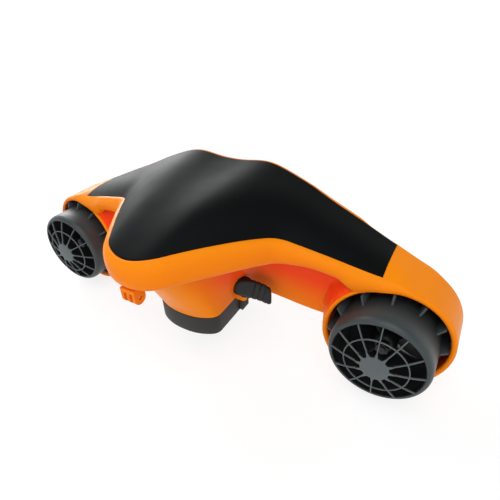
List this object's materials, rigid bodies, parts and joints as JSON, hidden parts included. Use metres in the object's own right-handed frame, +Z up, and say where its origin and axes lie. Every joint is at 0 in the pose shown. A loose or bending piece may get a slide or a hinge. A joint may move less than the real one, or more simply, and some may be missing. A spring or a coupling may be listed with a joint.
{
  "type": "underwater scooter",
  "caption": "Hand-held underwater scooter: swept hull with a dark deck, a ducted thruster at each wing tip, finger triggers by grip bars, a camera mount and a drop-out battery.",
  "frame": {"origin": "under the middle of the hull, on the plane that the nacelles stand on", "axes": "+Z up, -Y towards the nose, +X towards the rider's left"},
  "size_m": [0.494, 0.1836, 0.1789],
  "materials": {
    "orange": "satin gloss",
    "black": "satin",
    "graphite": "satin",
    "steel": "brushed",
    "copper": "bright",
    "rubber": "matt",
    "board": "satin",
    "cell": "satin"
  },
  "bodies": {
    "hull": {"camera_mount": "orange", "contact_block": "black", "control_board": "board", "deck_panel": "black", "front_hull_seal": "rubber", "left_cable_gland": "rubber", "left_duct": "graphite", "left_front_bearing": "steel", "left_front_grille": "graphite", "left_inner_screw": "steel", "left_motor_cable": "rubber", "left_motor_can": "graphite", "left_motor_driver": "graphite", "left_motor_mount": "graphite", "left_nacelle": "orange", "left_outer_screw": "steel", "left_rear_bearing": "steel", "left_rear_guard": "graphite", "left_shaft_seal": "rubber", "left_stator": "copper", "left_trigger_pin": "steel", "left_trigger_spring": "steel", "lower_shell": "orange", "rear_hull_seal": "rubber", "right_cable_gland": "rubber", "right_duct": "graphite", "right_front_bearing": "steel", "right_front_grille": "graphite", "right_inner_screw": "steel", "right_motor_cable": "rubber", "right_motor_can": "graphite", "right_motor_driver": "graphite", "right_motor_mount": "graphite", "right_nacelle": "orange", "right_outer_screw": "steel", "right_rear_bearing": "steel", "right_rear_guard": "graphite", "right_shaft_seal": "rubber", "right_stator": "copper", "right_trigger_pin": "steel", "right_trigger_spring": "steel", "upper_shell": "orange"},
    "left_spinner": {"left_propeller": "black", "left_motor_shaft": "steel", "left_rotor": "steel", "left_propeller_nut": "steel"},
    "left_trigger_arm": {"left_trigger": "black", "left_trigger_magnet": "steel"},
    "left_button": {"left_release_button": "black"},
    "right_spinner": {"right_propeller": "black", "right_motor_shaft": "steel", "right_rotor": "steel", "right_propeller_nut": "steel"},
    "right_trigger_arm": {"right_trigger": "black", "right_trigger_magnet": "steel"},
    "right_button": {"right_release_button": "black"},
    "battery_pack": {"battery_base": "graphite", "battery_case": "graphite", "battery_cells": "cell", "battery_contacts": "copper"}
  },
  "joints": [
    {"name": "left_propeller_spin", "type": "hinge", "parent": "hull", "child": "left_spinner", "pos_m": [0.19, 0.02675, 0.057], "axis": [0, 1, 0], "continuous": true},
    {"name": "left_trigger_pull", "type": "hinge", "parent": "hull", "child": "left_trigger_arm", "pos_m": [0.047, 0.01975, 0.0645], "axis": [0, 0, 1], "range_deg": [0, 15], "stiffness_Nm_per_rad": 0.2, "springref_deg": -5.73},
    {"name": "left_button_press", "type": "slide", "parent": "battery_pack", "child": "left_button", "axis": [-1, 0, 0], "range_m": [0, 0.0015], "stiffness_N_per_m": 300, "springref_m": -0.001},
    {"name": "right_propeller_spin", "type": "hinge", "parent": "hull", "child": "right_spinner", "pos_m": [-0.19, 0.02675, 0.057], "axis": [0, 1, 0], "continuous": true},
    {"name": "right_trigger_pull", "type": "hinge", "parent": "hull", "child": "right_trigger_arm", "pos_m": [-0.047, 0.01975, 0.0645], "axis": [0, 0, -1], "range_deg": [0, 15], "stiffness_Nm_per_rad": 0.2, "springref_deg": -5.73},
    {"name": "right_button_press", "type": "slide", "parent": "battery_pack", "child": "right_button", "axis": [1, 0, 0], "range_m": [0, 0.0015], "stiffness_N_per_m": 300, "springref_m": -0.001},
    {"name": "battery_slide", "type": "slide", "parent": "hull", "child": "battery_pack", "axis": [0, 0, -1], "range_m": [0, 0.055]}
  ]
}
